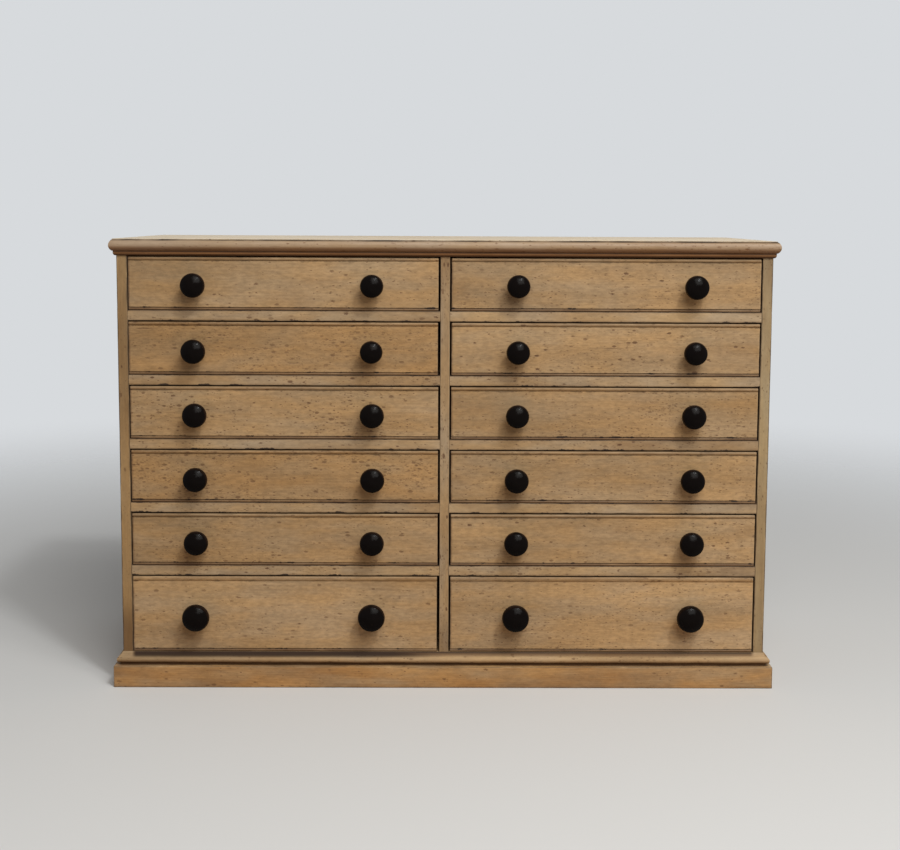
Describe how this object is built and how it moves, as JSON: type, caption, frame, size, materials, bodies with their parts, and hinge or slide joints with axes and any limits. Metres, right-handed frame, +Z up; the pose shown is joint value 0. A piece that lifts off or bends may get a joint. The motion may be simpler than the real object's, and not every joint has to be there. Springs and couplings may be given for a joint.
{
  "type": "bank of drawers",
  "caption": "Low, wide bank of drawers in stripped pine: shallow drawers over deeper ones, side by side, with turned black knobs, a moulded top and a plain plinth",
  "frame": {"origin": "on the floor, under the middle of the box that holds the whole piece", "axes": "+X to the right as one faces the drawers, +Y to the back, +Z up"},
  "size_m": [1.217, 0.492, 0.826],
  "materials": {
    "top_pine": "waxed pine, worn pale along the moulded edge",
    "carcase_pine": "stripped and waxed pine",
    "rail_pine": "stripped and waxed pine, greyer than the fronts",
    "front_pine": "stripped and waxed pine with dark flecks and small dents",
    "inside_pine": "bare, planed pine",
    "back_pine": "bare pine gone brown",
    "plinth_pine": "waxed pine, darker and warmer than the carcase",
    "black_knob": "turned wood, stained black and polished"
  },
  "bodies": {
    "carcase": {"top_board": "top_pine", "bed_mould": "top_pine", "side_left": "carcase_pine", "side_right": "carcase_pine", "centre_partition": "carcase_pine", "back_boards": "back_pine", "bottom_board": "inside_pine", "drawer_rails": "rail_pine", "drawer_runners": "inside_pine", "drawer_stops": "inside_pine", "plinth_boards": "plinth_pine", "base_moulding": "plinth_pine"},
    "drawer_left_1": {"drawer_left_1_front": "front_pine", "drawer_left_1_frame": "inside_pine", "drawer_left_1_bottom": "inside_pine", "drawer_left_1_knobs": "black_knob"},
    "drawer_left_2": {"drawer_left_2_front": "front_pine", "drawer_left_2_frame": "inside_pine", "drawer_left_2_bottom": "inside_pine", "drawer_left_2_knobs": "black_knob"},
    "drawer_left_3": {"drawer_left_3_front": "front_pine", "drawer_left_3_frame": "inside_pine", "drawer_left_3_bottom": "inside_pine", "drawer_left_3_knobs": "black_knob"},
    "drawer_left_4": {"drawer_left_4_front": "front_pine", "drawer_left_4_frame": "inside_pine", "drawer_left_4_bottom": "inside_pine", "drawer_left_4_knobs": "black_knob"},
    "drawer_left_5": {"drawer_left_5_front": "front_pine", "drawer_left_5_frame": "inside_pine", "drawer_left_5_bottom": "inside_pine", "drawer_left_5_knobs": "black_knob"},
    "drawer_left_6": {"drawer_left_6_front": "front_pine", "drawer_left_6_frame": "inside_pine", "drawer_left_6_bottom": "inside_pine", "drawer_left_6_knobs": "black_knob"},
    "drawer_right_1": {"drawer_right_1_front": "front_pine", "drawer_right_1_frame": "inside_pine", "drawer_right_1_bottom": "inside_pine", "drawer_right_1_knobs": "black_knob"},
    "drawer_right_2": {"drawer_right_2_front": "front_pine", "drawer_right_2_frame": "inside_pine", "drawer_right_2_bottom": "inside_pine", "drawer_right_2_knobs": "black_knob"},
    "drawer_right_3": {"drawer_right_3_front": "front_pine", "drawer_right_3_frame": "inside_pine", "drawer_right_3_bottom": "inside_pine", "drawer_right_3_knobs": "black_knob"},
    "drawer_right_4": {"drawer_right_4_front": "front_pine", "drawer_right_4_frame": "inside_pine", "drawer_right_4_bottom": "inside_pine", "drawer_right_4_knobs": "black_knob"},
    "drawer_right_5": {"drawer_right_5_front": "front_pine", "drawer_right_5_frame": "inside_pine", "drawer_right_5_bottom": "inside_pine", "drawer_right_5_knobs": "black_knob"},
    "drawer_right_6": {"drawer_right_6_front": "front_pine", "drawer_right_6_frame": "inside_pine", "drawer_right_6_bottom": "inside_pine", "drawer_right_6_knobs": "black_knob"}
  },
  "joints": [
    {"name": "drawer_left_1_slide", "type": "slide", "parent": "carcase", "child": "drawer_left_1", "axis": [0, -1, 0], "range_m": [0, 0.33]},
    {"name": "drawer_left_2_slide", "type": "slide", "parent": "carcase", "child": "drawer_left_2", "axis": [0, -1, 0], "range_m": [0, 0.33]},
    {"name": "drawer_left_3_slide", "type": "slide", "parent": "carcase", "child": "drawer_left_3", "axis": [0, -1, 0], "range_m": [0, 0.33]},
    {"name": "drawer_left_4_slide", "type": "slide", "parent": "carcase", "child": "drawer_left_4", "axis": [0, -1, 0], "range_m": [0, 0.33]},
    {"name": "drawer_left_5_slide", "type": "slide", "parent": "carcase", "child": "drawer_left_5", "axis": [0, -1, 0], "range_m": [0, 0.33]},
    {"name": "drawer_left_6_slide", "type": "slide", "parent": "carcase", "child": "drawer_left_6", "axis": [0, -1, 0], "range_m": [0, 0.33]},
    {"name": "drawer_right_1_slide", "type": "slide", "parent": "carcase", "child": "drawer_right_1", "axis": [0, -1, 0], "range_m": [0, 0.33]},
    {"name": "drawer_right_2_slide", "type": "slide", "parent": "carcase", "child": "drawer_right_2", "axis": [0, -1, 0], "range_m": [0, 0.33]},
    {"name": "drawer_right_3_slide", "type": "slide", "parent": "carcase", "child": "drawer_right_3", "axis": [0, -1, 0], "range_m": [0, 0.33]},
    {"name": "drawer_right_4_slide", "type": "slide", "parent": "carcase", "child": "drawer_right_4", "axis": [0, -1, 0], "range_m": [0, 0.33]},
    {"name": "drawer_right_5_slide", "type": "slide", "parent": "carcase", "child": "drawer_right_5", "axis": [0, -1, 0], "range_m": [0, 0.33]},
    {"name": "drawer_right_6_slide", "type": "slide", "parent": "carcase", "child": "drawer_right_6", "axis": [0, -1, 0], "range_m": [0, 0.33]}
  ]
}
